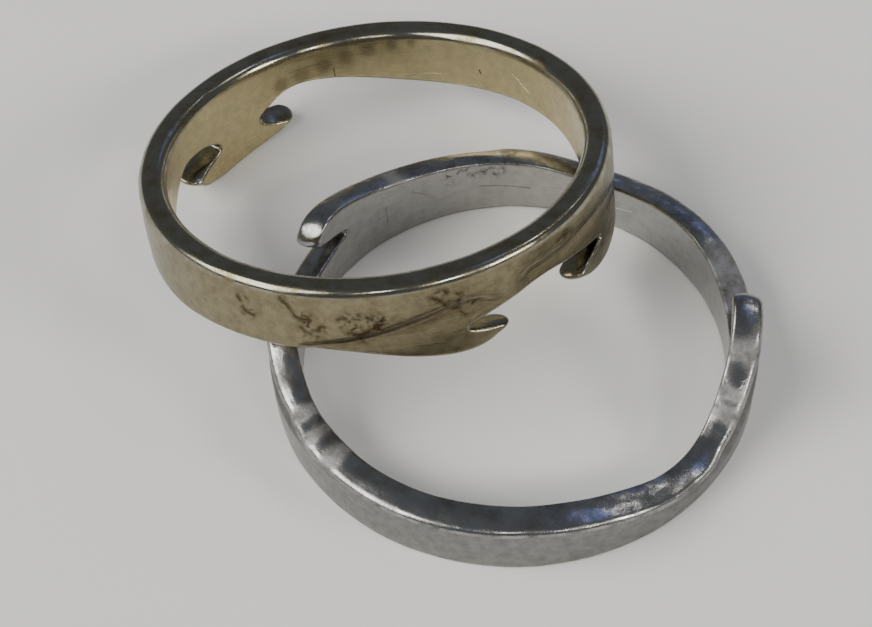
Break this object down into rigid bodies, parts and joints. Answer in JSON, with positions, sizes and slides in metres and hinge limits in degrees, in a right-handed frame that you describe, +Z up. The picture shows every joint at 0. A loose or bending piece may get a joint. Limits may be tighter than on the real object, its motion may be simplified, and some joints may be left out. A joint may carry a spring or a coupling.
{
  "type": "gimmel ring",
  "caption": "Gimmel finger ring taken apart: a yellow gold hoop with a scrolled, hooked edge lying tilted over its white gold partner.",
  "frame": {"origin": "on the surface the hoops lie on, under the middle of the box that holds both", "axes": "+Z up, along the white hoop's axis; +X to the right and +Y away as the hoops lie, yellow hoop at the back left"},
  "size_m": [0.0246, 0.0266, 0.0076],
  "materials": {
    "white_gold": "worn polish with fine scratches and dull patches",
    "yellow_gold": "worn polish with tarnished scuffs"
  },
  "bodies": {
    "white_hoop": {"white_band": "white_gold"},
    "gold_hoop": {"gold_band": "yellow_gold"}
  },
  "joints": [
    {"name": "gold_lift", "type": "slide", "parent": "white_hoop", "child": "gold_hoop", "axis": [0, 0, 1], "range_m": [0, 0.012]}
  ]
}
